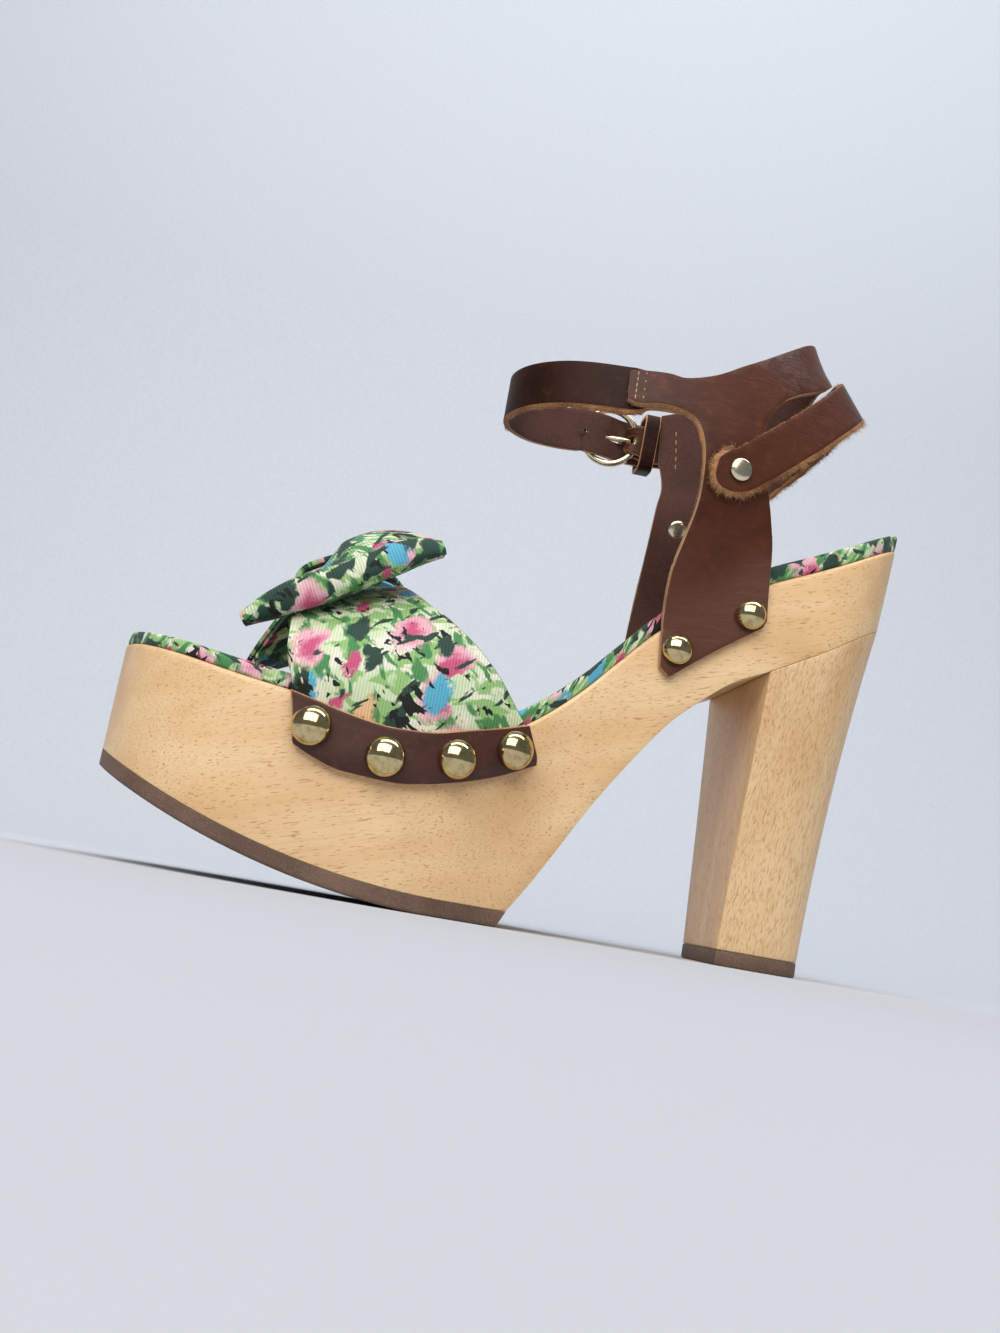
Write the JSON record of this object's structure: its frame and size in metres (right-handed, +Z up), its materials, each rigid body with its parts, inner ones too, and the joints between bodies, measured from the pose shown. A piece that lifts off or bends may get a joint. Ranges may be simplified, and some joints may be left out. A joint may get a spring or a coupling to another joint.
{
  "type": "platform sandal",
  "caption": "Right-foot sandal on a carved wooden platform with a tall block heel, a printed cloth vamp with a ribbon bow, brass studs and a leather ankle strap with a ring buckle.",
  "frame": {"origin": "middle of the shoe's box on the floor, z = 0 at the floor", "axes": "+X toward the heel, -X toward the toe, -Y toward the inner side of the foot, +Z up"},
  "size_m": [0.2136, 0.113, 0.1878],
  "materials": {
    "wood": "pale honey wood, satin lacquer",
    "rubber": "matt brown rubber",
    "printed_cloth": "ribbed cloth with a painterly blotch print",
    "leather": "dark brown, semi-gloss",
    "brass": "polished"
  },
  "bodies": {
    "root": {"wood_sole": "wood", "wood_heel": "wood", "outsole": "rubber", "heel_tip": "rubber", "insole": "printed_cloth", "vamp": "printed_cloth", "bow": "printed_cloth", "bow_knot": "printed_cloth", "strip_medial": "leather", "strip_lateral": "leather", "quarter": "leather", "back_strap": "leather", "ankle_strap": "leather", "buckle_chape": "leather", "strap_keeper": "leather", "stud_vamp_medial_1": "brass", "stud_vamp_medial_2": "brass", "stud_vamp_medial_3": "brass", "stud_vamp_medial_4": "brass", "stud_vamp_lateral_1": "brass", "stud_vamp_lateral_2": "brass", "stud_vamp_lateral_3": "brass", "stud_vamp_lateral_4": "brass", "stud_quarter_medial_1": "brass", "stud_quarter_medial_2": "brass", "stud_quarter_lateral_1": "brass", "stud_quarter_lateral_2": "brass", "rivet_medial": "brass", "rivet_lateral": "brass", "buckle_ring": "brass", "buckle_prong": "brass"}
  },
  "joints": []
}
